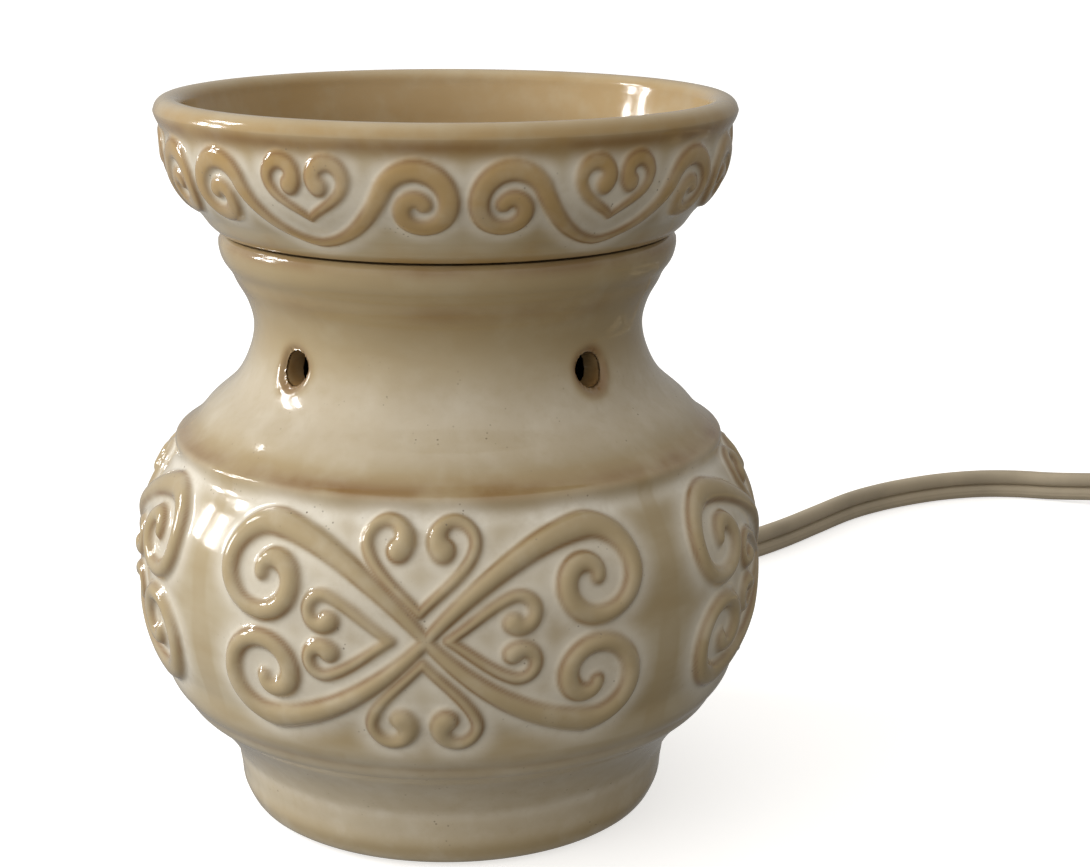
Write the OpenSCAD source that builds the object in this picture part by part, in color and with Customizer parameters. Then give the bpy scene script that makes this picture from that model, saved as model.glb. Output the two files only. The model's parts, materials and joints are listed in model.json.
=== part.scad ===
// Lamp-heated wax warmer: a glazed pot, a lift-off wax dish on its mouth, a small screw-in
// lamp inside, and a flat lead with an in-line rocker switch and a two-blade plug.
// Millimetres. The origin is the centre of the footprint, +Z is up, -Y is the front,
// and the lead leaves the back of the pot along +Y.

/* [Pot] */
// Height of the mouth that the dish rests on
seat_z = 103.8; // [103:0.1:106]
// Radius of the foot ring
foot_r = 34.2; // [33.7:0.1:34.7]
// Widest radius, at the belly
belly_r = 55.35; // [54.5:0.05:57]
// Height of the widest point
belly_z = 47; // [46:0.5:48]
// Radius at the neck
neck_r = 34; // [33.5:0.1:35]
// Height of the neck
neck_z = 87.8; // [87:0.2:88.4]
// Radius inside the mouth
mouth_r = 34; // [33.8:0.1:34.5]
// Wall thickness at the belly
wall = 4.3; // [3.5:0.1:5]
// Thickness of the floor around the lampholder hole
floor_t = 4; // [3.5:0.5:4.5]
// Radius of the lampholder hole in the floor
floor_hole_r = 17; // [16.6:0.1:18]

/* [Vents] */
// Radius of a vent hole
vent_r = 2.9; // [2:0.1:4]
// Height of the vent holes
vent_z = 84; // [82:0.5:87]
// Angle of each vent from the front and the back
vent_a = 45.2; // [25:0.1:60]

/* [Wax dish] */
// Height of the dish above the mouth
dish_h = 23.2; // [23:0.1:26]
// Widest radius of the rim
rim_r = 49.7; // [49:0.1:52]
// Thickness of the rim
rim_t = 4.8; // [4.4:0.1:5.4]
// Thickness of the dish's floor
dish_floor_t = 4.6; // [4:0.1:5]
// Radius of the ring that centres the dish in the mouth
locating_r = 33.2; // [32.5:0.1:33.4]

/* [Base] */
// Thickness of a rubber pad
pad_t = 1; // [0.8:0.1:1.2]
// Radius of a rubber pad
pad_r = 3.2; // [2:0.1:3.2]
// Radius of the steel base plate
plate_r = 24; // [20:0.5:24]
// Thickness of the base plate
plate_t = 1; // [0.8:0.1:1.2]
// Length of the clamp strap inside the pot
strap_l = 46; // [40:1:50]
// Distance between the two base screws
screw_pitch = 29; // [27:0.5:29]

/* [Lamp] */
// Outer radius of the screw base
base_r = 5.95; // [5.8:0.05:6]
// Rise of the lamp in one turn
thread_pitch = 2.54; // [2:0.02:3]
// Outer radius of the glass
glass_r = 11; // [9:0.5:11.5]
// Height of the top of the glass
glass_top = 86; // [80:1:88]

/* [Lampholder] */
// Outer radius of the lampholder
holder_r = 11.6; // [11.4:0.1:11.6]
// Height of its lower end
holder_z = 20; // [19:0.5:20]
// Height of its upper end
holder_top = 46; // [44:1:47]

/* [Lead] */
// Width of the flat lead, which stands on edge
lead_w = 7.4; // [7:0.1:7.4]
// Thickness of the flat lead
lead_t = 3.7; // [3:0.1:3.8]
// Height of the lead's hole in the back of the pot
lead_z = 16.5; // [16:0.1:17]
// Radius of the lead's hole
lead_hole_r = 4.6; // [4.5:0.1:5]
// Radius of the coil's outer turn
coil_r = 45; // [44:0.5:46]

/* [Switch] */
// Length of the switch housing
switch_l = 58; // [57:1:58]
// Width of the switch housing
switch_w = 24; // [23:0.5:26]
// Height of the switch housing
switch_h = 15; // [14.5:0.5:16]
// Travel of the rocker
rocker_swing = 16; // [10:1:16]

/* [Plug] */
// Length of the plug's body
plug_l = 34; // [30:1:38]
// Width of the plug's body
plug_w = 24; // [22:0.5:26]
// Height of the plug's body
plug_h = 14; // [13:0.5:16]
// Length of a blade
blade_l = 16.5; // [15:0.5:18]

/* [Hidden] */
$fn = 64;
gap = 0.1;

foot_z = 0.2;
recess_z = 5;
floor_z = recess_z + floor_t;
shoulder_z = 68;
foot_ring_in = 27;
pad_at = 30.2;

rim_z = seat_z + dish_h;
dish_under_z = seat_z - 0.8;

plate_z = recess_z - plate_t;
strap_w = 12;
strap_t = 1.2;
strap_z = floor_z;
screw_r = 1.6;
screw_head_r = 3.2;
screw_head_h = 1.6;

nipple_r = 4.9;
nipple_bore = 3.6;
nut_af = 14;
nut_t = 2.6;
bracket_t = 1;
bracket_w = 14;
bracket_z = strap_z + strap_t;
bracket_y = holder_r + gap;
washer_t = 0.6;
washer_z = bracket_z + bracket_t;
top_nut_z = washer_z + washer_t;

holder_bore = 6.75;
holder_floor = holder_z + 2.4;
terminal_z = holder_z + 4.5;
terminal_r = 1.4;
rivet_z = holder_z + 6;

contact_top = holder_floor + 1.1;
tip_z = contact_top + gap;
insulator_z = tip_z + 1;
shell_z = insulator_z + 2.4;
shell_top = shell_z + 14;

landing_y = 43.4;
landing_r = 7.2;
relief_in = 30.6;
relief_end = 68;

switch_at = [200, 168];
switch_turn = -20;
switch_lead_z = 5.5;
switch_split = 6.4;
switch_wall = 1.6;
rocker_l = 16;
rocker_w = 9;
pivot_z = 11.8;
pin_r = 1;
switch_screws_at = [[-21, 8.2], [21, -8.2]];

coil_at = [198, 100];
coil_pitch = lead_t + 0.3;
tie_t = 0.6;
coil_low = tie_t;
coil_high = coil_low + 2 * lead_w + 0.2;
coil_in = coil_r - coil_pitch - lead_t / 2 - 0.2;
coil_out = coil_r + lead_t / 2 + 0.2;

plug_at = [249, 60];
plug_z = plug_h / 2;
blade_t = 1.5;
blade_pitch = 12.7;
live_w = 6.35;
neutral_w = 7.9;

// Route of the lead from the strain relief into the switch
feed_route = [
    [0, 68, 16.5], [0, 76, 15.9], [1, 84, 13.6], [5, 92, 10.4], [11, 99, 7.2], [20, 105.5, 5],
    [31, 111, 4], [43, 116.5, 3.8], [55, 122.5, 3.8], [67, 131, 3.8], [77, 141, 3.8], [87, 153, 3.8],
    [97, 165, 3.8], [106, 173, 3.8], [115, 179, 3.8], [125, 184, 3.8], [136, 187, 3.8],
    [146, 187, 3.8], [155, 184.5, 4], [164, 181.2, 4.8], [170, 178.9, 5.4], [176, 176.7, 5.5]
];
// Route out of the switch, to the coil's lower outer turn
link_route = [
    [224, 159.3, 5.5], [230, 156.9, 5.4], [237, 152.2, 5], [243, 145.5, 4.5], [247, 136, 4.4],
    [248.4, 126, 4.4], [248, 115, 4.4], [245.5, 103, 4.4]
];
// Route from the coil's upper outer turn to the plug
tail_route = [
    [243, 97, 11.9], [243.8, 90, 11.5], [245.4, 82, 10.2], [247.4, 74, 8.4], [248.7, 67, 7.3],
    [249, 60, 7]
];
// Conductors inside the pot, from the strain relief to the terminals; mirrored for the second
core_route = [
    [1.75, 30.6, 16.5], [3, 27, 16.6], [6, 22, 17.4], [9.5, 17, 19], [12.2, 12, 21.2],
    [13.5, 7.5, 23.4], [13, 4.6, 24.3], [12.6, 2.6, 24.5]
];
core_r = 1;

// Outer outline of the pot, foot to lip
pot_outer = [
    [foot_r, foot_z], [foot_r + 2.5, foot_z + 1], [foot_r + 3.8, foot_z + 3.8],
    [foot_r + 4.6, foot_z + 8], [foot_r + 5.6, 12], [foot_r + 7.8, 15.6], [foot_r + 10.8, 19],
    [foot_r + 14, 22], [belly_r - 4.05, 27], [belly_r - 1.75, 33], [belly_r - 0.45, belly_z - 8],
    [belly_r, belly_z], [belly_r - 0.8, belly_z + 8.5], [belly_r - 3.9, belly_z + 15.5],
    [48.4, shoulder_z - 1], [46.5, shoulder_z + 1.6], [42.8, shoulder_z + 5.4],
    [neck_r + 3.6, neck_z - 9.8], [neck_r + 0.9, neck_z - 4.8], [neck_r, neck_z],
    [neck_r + 1, neck_z + 4.4], [neck_r + 3.2, neck_z + 8.4], [39.2, seat_z - 4],
    [39.5, seat_z - 1.4], [38.7, seat_z]
];
// Inner outline of the pot, lip to floor
pot_inner = [
    [mouth_r + 0.8, seat_z], [mouth_r, seat_z - 1], [mouth_r - 0.3, seat_z - 3.8],
    [neck_r - 0.8, neck_z + 8.7], [neck_r - 2.6, neck_z + 4.6], [neck_r - 3.2, neck_z],
    [neck_r - 2.5, neck_z - 5.2], [neck_r + 0.6, neck_z - 11.2], [39, shoulder_z + 3],
    [43.4, shoulder_z - 2], [belly_r - wall - 4.2, belly_z + 13.5],
    [belly_r - wall - 1.1, belly_z + 7], [belly_r - wall, belly_z],
    [belly_r - wall - 0.4, belly_z - 7.5], [belly_r - wall - 1.8, 34.4],
    [belly_r - wall - 4.8, 28.8], [42.4, 24.4], [38.2, 20.9], [35.2, 17.4], [34.2, 13.8],
    [33.6, floor_z + 2], [31.6, floor_z]
];
// Outer outline of the dish, seat to the widest point of the rim
dish_outer = [
    [38.8, seat_z], [39.8, seat_z + 0.6], [41.6, seat_z + 2.4], [45.2, seat_z + 6.2],
    [47.6, seat_z + 10.2], [rim_r - 1.1, seat_z + 14.2], [rim_r - 0.8, seat_z + 18],
    [rim_r, rim_z - 2.2]
];
// Inner outline of the dish, rim to the centre
dish_inner = [
    [rim_r - rim_t, rim_z - 2.2], [rim_r - rim_t - 1.3, rim_z - 7],
    [rim_r - rim_t - 2, rim_z - 11], [rim_r - rim_t - 4, rim_z - 15.5],
    [rim_r - rim_t - 8, rim_z - 18.2], [30, dish_under_z + dish_floor_t + 0.2],
    [15, dish_under_z + dish_floor_t], [0, dish_under_z + dish_floor_t]
];

// Every node

// A smooth curve through the points p, with n steps between neighbours
function curve_at(p, i, t) =
    let (a = p[max(i - 1, 0)], b = p[i], c = p[i + 1], d = p[min(i + 2, len(p) - 1)])
    0.5 * (2 * b + (c - a) * t + (2 * a - 5 * b + 4 * c - d) * t * t
        + (3 * b - a - 3 * c + d) * t * t * t);
function smooth(p, n) = concat(
    [for (i = [0:len(p) - 2], k = [0:n - 1]) curve_at(p, i, k / n)], [p[len(p) - 1]]);

function unit(v) = v / norm(v);
function heading(p, i) = unit(p[min(i + 1, len(p) - 1)] - p[max(i - 1, 0)]);
function sideways(t) = unit([t[1], -t[0], 0]);

// Section of the flat lead: two round edges, above and below
function lead_section(w, t) = [
    for (side = [1, -1], a = [-90:45:90])
        [t / 2 * sin(a) * side, side * (w / 2 - t / 2 + t / 2 * cos(a))]];
// Section of a round wire
function round_section(r, n) = [for (i = [0:n - 1]) [r * cos(360 * i / n), r * sin(360 * i / n)]];

// A solid swept along the route, its section's second axis upwards
module sweep(route, section) {
    n = len(section);
    last = (len(route) - 1) * n;
    points = [for (i = [0:len(route) - 1]) let (t = heading(route, i), s = sideways(t), u = cross(s, t))
        for (q = section) route[i] + q[0] * s + q[1] * u];
    sides = [for (i = [0:len(route) - 2], j = [0:n - 1])
        [i * n + j, i * n + (j + 1) % n, (i + 1) * n + (j + 1) % n, (i + 1) * n + j]];
    polyhedron(
        points = points,
        faces = concat(
            [[for (j = [n - 1:-1:0]) j]], sides, [[for (j = [0:n - 1]) last + j]]));
}

// Puts what is drawn around Z on an axis along +Y
module along_y() {
    rotate([-90, 0, 0]) children();
}

// A rectangle with round corners
module rounded(l, w, r) {
    square([l - 2 * r, w], center = true);
    square([l, w - 2 * r], center = true);
    for (x = [-1, 1], y = [-1, 1]) translate([x * (l / 2 - r), y * (w / 2 - r)]) circle(r = r);
}

// A flat ring around Z
module ring(inner, outer, z, h) {
    translate([0, 0, z]) difference() {
        cylinder(r = outer, h = h);
        translate([0, 0, -1]) cylinder(r = inner, h = h + 2);
    }
}

module body_shell() {
    color("#c8b79a") difference() {
        union() {
            rotate_extrude($fn = 128) polygon(concat(
                [[foot_ring_in, foot_z]], smooth(pot_outer, 4), smooth(pot_inner, 3),
                [[floor_hole_r, floor_z], [floor_hole_r, recess_z], [foot_ring_in - 1.5, recess_z]]));
            translate([0, 37.5, lead_z]) along_y() cylinder(r = landing_r, h = landing_y - 37.5);
        }
        // Pockets for the pads
        for (a = [45:90:315]) rotate([0, 0, a])
            translate([pad_at, 0, foot_z - 1]) cylinder(r = pad_r + gap, h = pad_t + 1 - foot_z);
        // Flat landing for the strain relief's flange, and its hole
        translate([0, landing_y, lead_z]) along_y() cylinder(r = landing_r, h = 12);
        translate([0, 25, lead_z]) along_y() cylinder(r = lead_hole_r, h = 30);
        for (back = [0, 180], side = [-1, 1])
            rotate([0, 0, back + side * vent_a]) translate([0, -45, vent_z])
                along_y() cylinder(r = vent_r, h = 25);
    }
}

module foot_pads() {
    color("#2b2926") for (a = [45:90:315])
        rotate([0, 0, a]) translate([pad_at, 0, 0]) cylinder(r = pad_r, h = pad_t);
}

module base_plate() {
    color("#9a9c9e") difference() {
        translate([0, 0, plate_z]) cylinder(r = plate_r, h = plate_t);
        for (side = [-1, 1])
            translate([side * screw_pitch / 2, 0, 0]) cylinder(r = screw_r + gap, h = recess_z + 1);
        // Drain and vent holes
        for (a = [30:60:330])
            rotate([0, 0, a]) translate([0, 10, 0]) cylinder(r = 2, h = recess_z + 1);
    }
}

module clamp_strap() {
    color("#a5a7a8") difference() {
        translate([-strap_l / 2, -strap_w / 2, strap_z]) cube([strap_l, strap_w, strap_t]);
        translate([0, 0, strap_z - 1]) cylinder(r = nipple_r + gap, h = strap_t + 2);
        for (side = [-1, 1])
            translate([side * screw_pitch / 2, 0, strap_z - 1])
                cylinder(r = screw_r + 0.02, h = strap_t + 2);
    }
}

module base_screws() {
    color("#b9bbbd") for (side = [-1, 1]) translate([side * screw_pitch / 2, 0, 0]) {
        translate([0, 0, plate_z - 0.5]) cylinder(r = screw_r, h = strap_z + strap_t + 2.5 - plate_z);
        difference() {
            translate([0, 0, plate_z - screw_head_h]) cylinder(r = screw_head_r, h = screw_head_h);
            for (turn = [0, 90]) rotate([0, 0, turn])
                translate([-2, -0.35, plate_z - screw_head_h - 1]) cube([4, 0.7, 1.8]);
        }
    }
}

module nipple() {
    color("#b08d4c") ring(nipple_bore, nipple_r, strap_z - 3.4, 10);
}

module nipple_nuts() {
    color("#b9bbbd") for (z = [strap_z - nut_t, top_nut_z]) difference() {
        translate([0, 0, z]) cylinder(d = nut_af / cos(30), h = nut_t, $fn = 6);
        translate([0, 0, z - 1]) cylinder(r = nipple_r + 0.02, h = nut_t + 2);
    }
}

module lock_washer() {
    color("#8f9193") difference() {
        ring(nipple_r + 0.2, 7.6, washer_z, washer_t);
        rotate([0, 0, 35]) translate([4, -0.5, washer_z - 1]) cube([5, 1, washer_t + 2]);
    }
}

module socket_bracket() {
    arm_h = rivet_z + 4 - bracket_z;
    color("#a5a7a8") difference() {
        union() {
            translate([-bracket_w / 2, -bracket_y - bracket_t, bracket_z])
                cube([bracket_w, 2 * (bracket_y + bracket_t), bracket_t]);
            for (side = [0, 180]) rotate([0, 0, side])
                translate([-bracket_w / 2, bracket_y, bracket_z]) cube([bracket_w, bracket_t, arm_h]);
        }
        translate([0, 0, bracket_z - 1]) cylinder(r = nipple_r + gap, h = bracket_t + 2);
        translate([0, -20, rivet_z]) along_y() cylinder(r = 1.55, h = 40);
    }
}

module bracket_rivets() {
    color("#c3c5c6") for (side = [0, 180]) rotate([0, 0, side]) {
        translate([0, holder_r - 2.2, rivet_z]) along_y() cylinder(r = 1.5, h = 3.4);
        translate([0, bracket_y + bracket_t, rivet_z]) along_y() cylinder(r = 2.8, h = 0.8);
    }
}

module socket_body() {
    rib_r = 12.4;
    color("#26211d") difference() {
        union() {
            translate([0, 0, holder_z]) cylinder(r = holder_r, h = holder_top - holder_z);
            translate([0, 0, holder_top - 3]) cylinder(r = rib_r, h = 3);
        }
        translate([0, 0, holder_floor]) cylinder(r = holder_bore, h = holder_top);
        translate([0, 0, holder_top - 1]) cylinder(r = holder_bore + 1.2, h = 2);
        translate([0, -20, rivet_z]) along_y() cylinder(r = 1.55, h = 20 - holder_r + 2.3);
        translate([0, holder_r - 2.3, rivet_z]) along_y() cylinder(r = 1.55, h = 20);
        for (side = [0, 180]) rotate([0, 0, side]) translate([holder_r - 3.2, 0, terminal_z])
            rotate([0, 90, 0]) cylinder(r = terminal_r + 0.05, h = 6);
    }
}

module socket_shell() {
    color("#c9a75a") ring(base_r + 0.35, holder_bore - 0.05, shell_z - 0.6, holder_top - shell_z - 1.4);
}

module socket_contact() {
    color("#c9a75a") {
        translate([0, 0, holder_floor]) cylinder(r = 3.2, h = 0.5);
        translate([0, 0, holder_floor + 0.5]) cylinder(r1 = 2, r2 = 1.6, h = 0.6);
    }
}

module terminal_screws() {
    color("#c9a75a") for (side = [0, 180]) rotate([0, 0, side]) translate([0, 0, terminal_z])
        rotate([0, 90, 0]) difference() {
            union() {
                translate([0, 0, holder_r - 3]) cylinder(r = terminal_r, h = 3.2);
                translate([0, 0, holder_r + 0.1]) cylinder(r = 2.4, h = 1.7);
            }
            translate([-3, -0.3, holder_r + 1.2]) cube([6, 0.6, 1]);
        }
}

module lead_live() {
    color("#3a3733") sweep(smooth(core_route, 2), round_section(core_r, 8));
}

module lead_neutral() {
    color("#d9d4c8") mirror([1, 0, 0]) sweep(smooth(core_route, 2), round_section(core_r, 8));
}

module relief_clip() {
    color("#55504a") translate([0, 31.2, lead_z]) along_y() ring(lead_hole_r - 0.15, 5.8, 0, 2);
}

module strain_relief() {
    ribs = 5;
    rib_from = landing_y + 5;
    rib_step = (relief_end - 3 - rib_from) / ribs;
    slope = (4.35 - 5.7) / (relief_end - landing_y - 2.4);
    color("#9b9384") translate([0, 0, lead_z]) along_y() difference() {
        rotate_extrude() polygon([
            [0, relief_in], [lead_hole_r - 0.2, relief_in], [lead_hole_r - 0.2, landing_y],
            [6.4, landing_y], [6.4, landing_y + 1.8], [5.8, landing_y + 2.4],
            [5.7, landing_y + 2.4], [4.35, relief_end], [0, relief_end]]);
        for (i = [0:ribs - 1]) let (y = rib_from + i * rib_step, r = 5.7 + slope * (y - landing_y - 2.4))
            ring(r - 0.7, r + 2, y, 1.3);
    }
}

module bulb_tip() {
    color("#b7b2a8") translate([0, 0, tip_z]) cylinder(r1 = 1.6, r2 = 2.2, h = 1);
}

module bulb_insulator() {
    color("#1d1b1a") translate([0, 0, insulator_z]) cylinder(r1 = 2.6, r2 = base_r - 0.5, h = 2.4);
}

module bulb_base() {
    turns = 3;
    depth = 0.45;
    thread = [for (i = [0:turns * 8])
        [base_r - depth / 2 + depth / 2 * cos(45 * i), shell_z + 2.4 + i * thread_pitch / 8]];
    color("#c9a75a") rotate_extrude() polygon(concat(
        [[base_r - 1, shell_z], [base_r - 0.6, shell_z]], thread,
        [[base_r, shell_top], [base_r - 1, shell_top]]));
}

module bulb_glass() {
    t = 0.7;
    dome_z = glass_top - glass_r;
    neck_top = shell_top + 5;
    outer = smooth([[base_r - 1.15, shell_top - 6], [base_r - 1.1, shell_top],
        [base_r - 0.6, shell_top + 2.4], [base_r - 0.1, neck_top], [8.2, neck_top + 4.4],
        [glass_r - 0.6, neck_top + 9], [glass_r, neck_top + 14]], 4);
    dome = [for (a = [0:10:90]) [glass_r * cos(a), dome_z + glass_r * sin(a)]];
    hollow = [for (a = [90:-10:0]) [(glass_r - t) * cos(a), dome_z + (glass_r - t) * sin(a)]];
    inner = smooth([[glass_r - t, neck_top + 14.2], [glass_r - 0.6 - t, neck_top + 9.3],
        [8.2 - t, neck_top + 4.9], [base_r - 0.1 - t, neck_top + 0.4],
        [base_r - 0.6 - t, shell_top + 2.6], [base_r - 1.9, shell_top],
        [base_r - 1.9, shell_top - 6]], 4);
    color([1, 0.97, 0.9, 0.35]) rotate_extrude($fn = 96)
        polygon(concat(outer, dome, hollow, inner));
}

module bulb_stem() {
    color([0.9, 0.93, 0.95, 0.6]) rotate_extrude() polygon([
        [0, shell_top - 5.8], [3.7, shell_top - 5.8], [3.2, shell_top - 3], [2, shell_top + 3],
        [1.7, shell_top + 9], [2.1, shell_top + 10], [1.2, shell_top + 11.5], [0, shell_top + 12]]);
}

module filament_supports() {
    top = shell_top + 26;
    color("#8a8a8c") for (side = [-1, 1]) sweep(
        smooth([[side * 1.2, 0, shell_top + 11], [side * 2, 0.01, shell_top + 15],
            [side * 4.6, 0.02, shell_top + 20], [side * 5.4, 0.03, top]], 2),
        round_section(0.3, 8));
}

module filament() {
    top = shell_top + 26;
    steps = 12;
    color("#6f6a66") sweep(
        [for (i = [0:steps]) let (x = -5.4 + 10.8 * i / steps)
            [x, 0.03, top - 0.35 + 2.4 * sin(180 * i / steps)]],
        round_section(0.28, 8));
}

module wax_dish() {
    rim_mid = rim_r - rim_t / 2;
    lip = [for (a = [15:15:165]) [rim_mid + rim_t / 2 * cos(a), rim_z - 2.2 + 2.2 * sin(a)]];
    color("#cfbd9c") rotate_extrude($fn = 128) polygon(concat(
        smooth(dish_outer, 4), lip, smooth(dish_inner, 4),
        [[0, dish_under_z], [28.8, dish_under_z], [30, seat_z - 3.3], [locating_r - 0.5, seat_z - 3.3],
        [locating_r, seat_z - 2.6], [locating_r, seat_z]]));
}

module cord_feed() {
    color("#8e877a") sweep(feed_route, lead_section(lead_w, lead_t));
}

module cord_link() {
    color("#8e877a") sweep(link_route, lead_section(lead_w, lead_t));
}

module cord_tail() {
    color("#8e877a") sweep(tail_route, lead_section(lead_w, lead_t));
}

module cord_coil() {
    soft = 1.4;
    color("#8e877a") translate([coil_at[0], coil_at[1], 0]) rotate_extrude($fn = 96) polygon([
        [coil_in + soft, coil_low], [coil_out - soft, coil_low], [coil_out, coil_low + soft],
        [coil_out, coil_high - soft], [coil_out - soft, coil_high], [coil_in + soft, coil_high],
        [coil_in, coil_high - soft], [coil_in, coil_low + soft]]);
}

module cord_tie() {
    span = 12;
    color("#3a3733") translate([coil_at[0], coil_at[1], 0]) rotate([0, 0, 180 - span / 2])
        rotate_extrude(angle = span, $fn = 96) difference() {
            translate([coil_in - tie_t, 0]) square([coil_out - coil_in + 2 * tie_t, coil_high + tie_t]);
            translate([coil_in, coil_low]) square([coil_out - coil_in, coil_high - coil_low]);
        }
}

// Puts what is drawn along X, around the origin, where the switch lies
module at_switch() {
    translate([switch_at[0], switch_at[1], 0]) rotate([0, 0, switch_turn]) children();
}

// The openings at both ends of the switch housing, where the lead goes in
module lead_slots() {
    for (side = [-1, 1]) translate([side * switch_l / 2, 0, switch_lead_z])
        cube([8, lead_t + 0.5, lead_w + 0.3], center = true);
}

module switch_base() {
    color("#8e877a") at_switch() difference() {
        linear_extrude(switch_split) rounded(switch_l, switch_w, 5);
        translate([0, 0, switch_wall]) linear_extrude(switch_split) difference() {
            rounded(switch_l - 2 * switch_wall, switch_w - 2 * switch_wall, 5 - switch_wall);
            for (s = switch_screws_at) translate(s) circle(r = 3);
        }
        lead_slots();
        for (s = switch_screws_at) translate([s[0], s[1], -1]) {
            cylinder(r = 1.3, h = switch_split + 2);
            cylinder(r = 2.6, h = 2.6);
        }
    }
}

module switch_cover() {
    color("#968f82") at_switch() difference() {
        union() {
            translate([0, 0, switch_split]) linear_extrude(switch_h - switch_split - 1)
                rounded(switch_l, switch_w, 5);
            translate([0, 0, switch_h - 1]) linear_extrude(1) rounded(switch_l - 2, switch_w - 2, 4);
        }
        difference() {
            translate([0, 0, switch_split - 1]) linear_extrude(switch_h - switch_split - switch_wall)
                rounded(switch_l - 2 * switch_wall, switch_w - 2 * switch_wall, 5 - switch_wall);
            for (s = switch_screws_at) translate([s[0], s[1], 0]) cylinder(r = 3, h = switch_h);
            for (side = [-1, 1]) translate([-3, side * 6.4 - 1, 0]) cube([6, 2, switch_h]);
        }
        translate([-9.2, -rocker_w / 2 - 0.4, 0]) cube([18.4, rocker_w + 0.8, switch_h + 1]);
        lead_slots();
        translate([0, -7.2, pivot_z]) along_y() cylinder(r = pin_r + 0.02, h = 14.4);
        for (s = switch_screws_at) translate([s[0], s[1], 0]) cylinder(r = 0.95, h = switch_h - 2.5);
    }
}

module switch_rocker() {
    rest = rocker_swing / 2;
    half = rocker_l / 2;
    color("#d8d2c4") at_switch() translate([0, rocker_w / 2, pivot_z]) rotate([90, 0, 0])
        linear_extrude(rocker_w) rotate([0, 0, rest]) difference() {
            polygon([[-half, 4.6], [0, 3.6], [half, 4.6], [half - 0.4, 0], [half - 3, -2.2],
                [2, -2.8], [-2, -2.8], [3 - half, -2.2], [0.4 - half, 0]]);
            circle(r = pin_r + 0.08);
        }
}

module rocker_pin() {
    color("#b9bbbd") at_switch() translate([0, -7, pivot_z]) along_y() cylinder(r = pin_r, h = 14);
}

module switch_contacts() {
    color("#c9a75a") at_switch() for (side = [0, 180]) rotate([0, 0, side]) {
        translate([8, -2, switch_wall]) cube([12, 4, 0.8]);
        translate([8, -2, switch_wall]) cube([0.8, 4, 4.4]);
        translate([19.2, -2, switch_wall]) cube([0.8, 4, 3]);
    }
}

module switch_wire() {
    inside = switch_l / 2 - 4.2;
    color("#d9d4c8") at_switch() sweep(
        [[-inside, 0, switch_lead_z - 1.8], [-20, -4, 3.8], [-14, -7.2, 3.6], [0, -7.6, 3.4],
        [11, -7.2, 3.6], [17, -5.5, 3.8], [22, -2.6, 3.8], [inside, 0, switch_lead_z - 1.8]],
        round_section(core_r, 8));
}

module switch_screws() {
    color("#b9bbbd") at_switch() for (s = switch_screws_at) translate([s[0], s[1], 0]) difference() {
        union() {
            translate([0, 0, 0.2]) cylinder(r = 2.4, h = 1.3);
            translate([0, 0, 1.4]) cylinder(r = 0.93, h = 9);
        }
        for (turn = [0, 90]) rotate([0, 0, turn]) translate([-1.4, -0.25, -1]) cube([2.8, 0.5, 1.8]);
    }
}

module plug_body() {
    taper = 13;
    slice = 0.5;
    color("#8e877a") translate([plug_at[0], plug_at[1], plug_z]) rotate([90, 0, 0]) hull() {
        linear_extrude(slice, $fn = 32) rounded(8.6, 9.4, 3);
        translate([0, 0, taper]) linear_extrude(slice, $fn = 32) rounded(plug_w - 2, plug_h - 1, 4);
        translate([0, 0, taper + 4]) linear_extrude(plug_l - taper - 5, $fn = 32)
            rounded(plug_w, plug_h, 4);
        translate([0, 0, plug_l - slice]) linear_extrude(slice, $fn = 32)
            rounded(plug_w - 2, plug_h - 2, 3);
    }
}

module plug_blades() {
    color("#d3c08a") translate([plug_at[0], plug_at[1] - plug_l, plug_z]) for (side = [-1, 1]) {
        w = side < 0 ? live_w : neutral_w;
        translate([side * blade_pitch / 2, 0, 0]) difference() {
            translate([-blade_t / 2, -blade_l, -w / 2]) cube([blade_t, blade_l, w]);
            translate([-blade_t, -blade_l + 4, 0]) rotate([0, 90, 0]) cylinder(r = 1.6, h = 2 * blade_t);
        }
    }
}

body_shell();
foot_pads();
base_plate();
clamp_strap();
base_screws();
nipple();
nipple_nuts();
lock_washer();
socket_bracket();
bracket_rivets();
socket_body();
socket_shell();
socket_contact();
terminal_screws();
lead_live();
lead_neutral();
relief_clip();
strain_relief();
bulb_tip();
bulb_insulator();
bulb_base();
bulb_glass();
bulb_stem();
filament_supports();
filament();
wax_dish();
cord_feed();
cord_link();
cord_coil();
cord_tail();
cord_tie();
switch_base();
switch_cover();
switch_rocker();
rocker_pin();
switch_contacts();
switch_wire();
switch_screws();
plug_body();
plug_blades();
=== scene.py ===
"""Looks of the lamp-heated wax warmer: glazed relief pot and dish, lamp, flat lead, switch and plug.

Lengths named in millimetres are turned into metres by MM. Angles round the pot are counted from
the front (-Y) towards +X.
"""
import json
import math

import bpy
import numpy as np
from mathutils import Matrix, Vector


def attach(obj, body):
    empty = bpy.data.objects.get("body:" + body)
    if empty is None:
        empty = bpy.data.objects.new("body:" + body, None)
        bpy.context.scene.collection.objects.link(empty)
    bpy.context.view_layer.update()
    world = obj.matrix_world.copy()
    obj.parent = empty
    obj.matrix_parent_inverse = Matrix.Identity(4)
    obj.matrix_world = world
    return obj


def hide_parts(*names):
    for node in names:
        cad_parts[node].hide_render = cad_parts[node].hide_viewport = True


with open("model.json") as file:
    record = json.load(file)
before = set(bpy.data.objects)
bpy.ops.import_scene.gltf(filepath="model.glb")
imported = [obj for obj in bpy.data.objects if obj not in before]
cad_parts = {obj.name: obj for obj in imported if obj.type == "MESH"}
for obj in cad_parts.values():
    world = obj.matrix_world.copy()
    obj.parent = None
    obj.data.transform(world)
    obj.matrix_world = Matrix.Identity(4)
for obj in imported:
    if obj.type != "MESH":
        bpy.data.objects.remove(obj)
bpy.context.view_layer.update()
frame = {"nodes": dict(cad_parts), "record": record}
MM = 0.001
NODES = frame["nodes"]


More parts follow.
